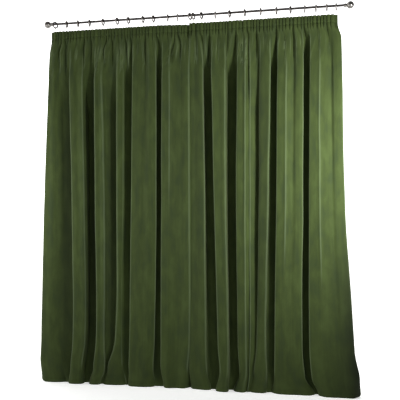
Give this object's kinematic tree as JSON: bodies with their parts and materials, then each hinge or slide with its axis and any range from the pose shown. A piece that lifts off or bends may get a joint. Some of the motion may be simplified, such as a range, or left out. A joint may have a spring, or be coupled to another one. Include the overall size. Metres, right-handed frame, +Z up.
{
  "type": "pair of velvet curtains on a curtain pole with rings",
  "caption": "Closed pair of floor-length pencil-pleat velvet curtains hanging in deep uneven folds from rings and hooks on a slim metal pole with ball finials.",
  "frame": {"origin": "on the floor, at the middle of the overall footprint, 3 mm in front of the pole's axis", "axes": "+X along the pole towards the right-hand finial as seen from the room, -Y out into the room, +Z up"},
  "size_m": [2.0029, 0.118, 2.3581],
  "materials": {
    "velvet": "cut-pile velvet",
    "webbing": "woven tape",
    "chrome": "polished",
    "nylon": "moulded"
  },
  "bodies": {
    "root": {"curtain_left": "velvet", "curtain_right": "velvet", "heading_tape_left": "webbing", "heading_tape_right": "webbing", "pole": "chrome", "finial_left": "chrome", "finial_right": "chrome", "ring_left_01": "chrome", "ring_left_02": "chrome", "ring_left_03": "chrome", "ring_left_04": "chrome", "ring_left_05": "chrome", "ring_left_06": "chrome", "ring_left_07": "chrome", "ring_left_08": "chrome", "ring_left_09": "chrome", "ring_left_10": "chrome", "ring_left_11": "chrome", "ring_left_12": "chrome", "ring_right_01": "chrome", "ring_right_02": "chrome", "ring_right_03": "chrome", "ring_right_04": "chrome", "ring_right_05": "chrome", "ring_right_06": "chrome", "ring_right_07": "chrome", "ring_right_08": "chrome", "ring_right_09": "chrome", "ring_right_10": "chrome", "ring_right_11": "chrome", "ring_right_12": "chrome", "hook_left_01": "nylon", "hook_left_02": "nylon", "hook_left_03": "nylon", "hook_left_04": "nylon", "hook_left_05": "nylon", "hook_left_06": "nylon", "hook_left_07": "nylon", "hook_left_08": "nylon", "hook_left_09": "nylon", "hook_left_10": "nylon", "hook_left_11": "nylon", "hook_left_12": "nylon", "hook_right_01": "nylon", "hook_right_02": "nylon", "hook_right_03": "nylon", "hook_right_04": "nylon", "hook_right_05": "nylon", "hook_right_06": "nylon", "hook_right_07": "nylon", "hook_right_08": "nylon", "hook_right_09": "nylon", "hook_right_10": "nylon", "hook_right_11": "nylon", "hook_right_12": "nylon"}
  },
  "joints": []
}
